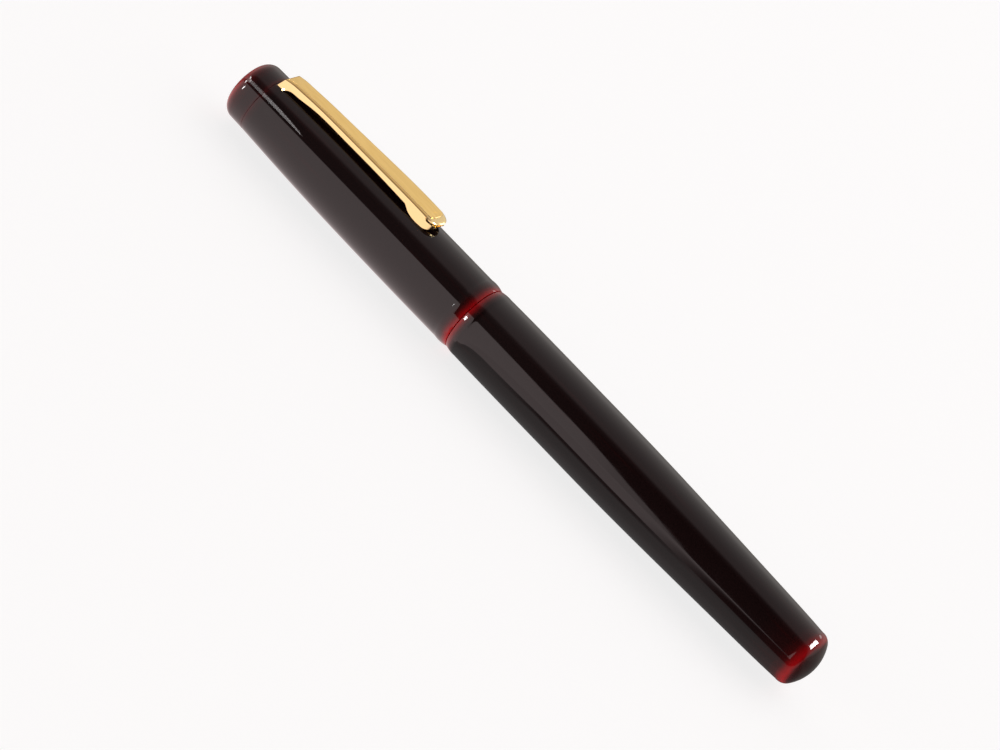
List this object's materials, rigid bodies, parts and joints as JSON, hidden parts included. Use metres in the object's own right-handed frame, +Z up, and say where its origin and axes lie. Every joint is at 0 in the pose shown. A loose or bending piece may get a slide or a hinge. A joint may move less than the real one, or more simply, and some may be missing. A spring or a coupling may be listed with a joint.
{
  "type": "fountain pen",
  "caption": "Capped lacquered fountain pen with a sprung gold clip, screw cap with sealing inner cap, nib unit and piston converter inside the screw-on barrel.",
  "frame": {"origin": "midway along the pen, under its axis, on the surface that the barrel's widest ring rests on", "axes": "+X along the pen's axis from the cap's top to the barrel's end, +Z up through the clip, +Y across the pen"},
  "size_m": [0.154, 0.0148, 0.0169],
  "materials": {
    "lacquer": "polished dark red-brown lacquer over ebonite",
    "gold_plate": "polished gold plate",
    "gold_brushed": "brushed gold plate",
    "gold_nib": "polished gold",
    "hard_tip": "polished hard alloy",
    "brass_insert": "machined brass",
    "steel": "plain spring steel",
    "inner_resin": "moulded black resin",
    "feed_resin": "moulded matt black resin",
    "clear_resin": "clear moulded resin",
    "milky_resin": "milky moulded resin",
    "seal_rubber": "smooth rubber"
  },
  "bodies": {
    "section": {"grip_section": "lacquer", "section_ring": "gold_plate", "thread_collar": "gold_plate", "feed_housing": "inner_resin", "feed": "feed_resin", "nib": "gold_nib", "nib_point": "hard_tip"},
    "inner_cap": {"inner_cap": "inner_resin"},
    "cap_spring": {"spring_washer": "steel", "inner_cap_spring": "steel"},
    "cap": {"cap_tube": "lacquer", "cap_crown": "lacquer", "cap_thread_sleeve": "brass_insert", "clip_anchor": "gold_plate", "crown_screw": "steel"},
    "clip": {"clip": "gold_plate", "clip_panel": "gold_brushed"},
    "barrel_seal": {"barrel_seal_ring": "seal_rubber"},
    "barrel": {"barrel_tube": "lacquer", "barrel_thread_bush": "brass_insert"},
    "converter": {"converter_tube": "clear_resin", "converter_collar": "gold_plate", "piston_guide": "inner_resin"},
    "knob": {"converter_knob": "inner_resin", "piston_spindle": "steel"},
    "piston": {"piston_carrier": "milky_resin", "piston_seal": "seal_rubber"}
  },
  "joints": [
    {"name": "cap_pull", "type": "slide", "parent": "section", "child": "inner_cap", "axis": [-1, 0, 0], "range_m": [0, 0.06]},
    {"name": "cap_lift", "type": "slide", "parent": "inner_cap", "child": "cap_spring", "axis": [-1, 0, 0], "range_m": [0, 0.003], "deforming": ["inner_cap_spring"]},
    {"name": "cap_turn", "type": "hinge", "parent": "cap_spring", "child": "cap", "pos_m": [-0.04, 0, 0.00736], "axis": [-1, 0, 0], "range_deg": [0, 540]},
    {"name": "clip_flex", "type": "hinge", "parent": "cap", "child": "clip", "pos_m": [-0.0703, 0, 0.01271], "axis": [0, -1, 0], "range_deg": [0, 3], "stiffness_Nm_per_rad": 4},
    {"name": "barrel_draw", "type": "slide", "parent": "section", "child": "barrel_seal", "axis": [1, 0, 0], "range_m": [0, 0.07]},
    {"name": "barrel_turn", "type": "hinge", "parent": "barrel_seal", "child": "barrel", "pos_m": [0, 0, 0.00736], "axis": [1, 0, 0], "range_deg": [0, 2160]},
    {"name": "converter_pull", "type": "slide", "parent": "section", "child": "converter", "axis": [1, 0, 0], "range_m": [0, 0.012]},
    {"name": "knob_turn", "type": "hinge", "parent": "converter", "child": "knob", "pos_m": [0.036, 0, 0.00736], "axis": [-1, 0, 0], "range_deg": [0, 2880]},
    {"name": "piston_slide", "type": "slide", "parent": "converter", "child": "piston", "axis": [1, 0, 0], "range_m": [0, 0.02]}
  ],
  "couplings": [
    {"joint": "cap_lift", "follows": "cap_turn", "m_per_rad": 0.00031831},
    {"joint": "knob_turn", "follows": "piston_slide", "rad_per_m": 2513.3}
  ]
}
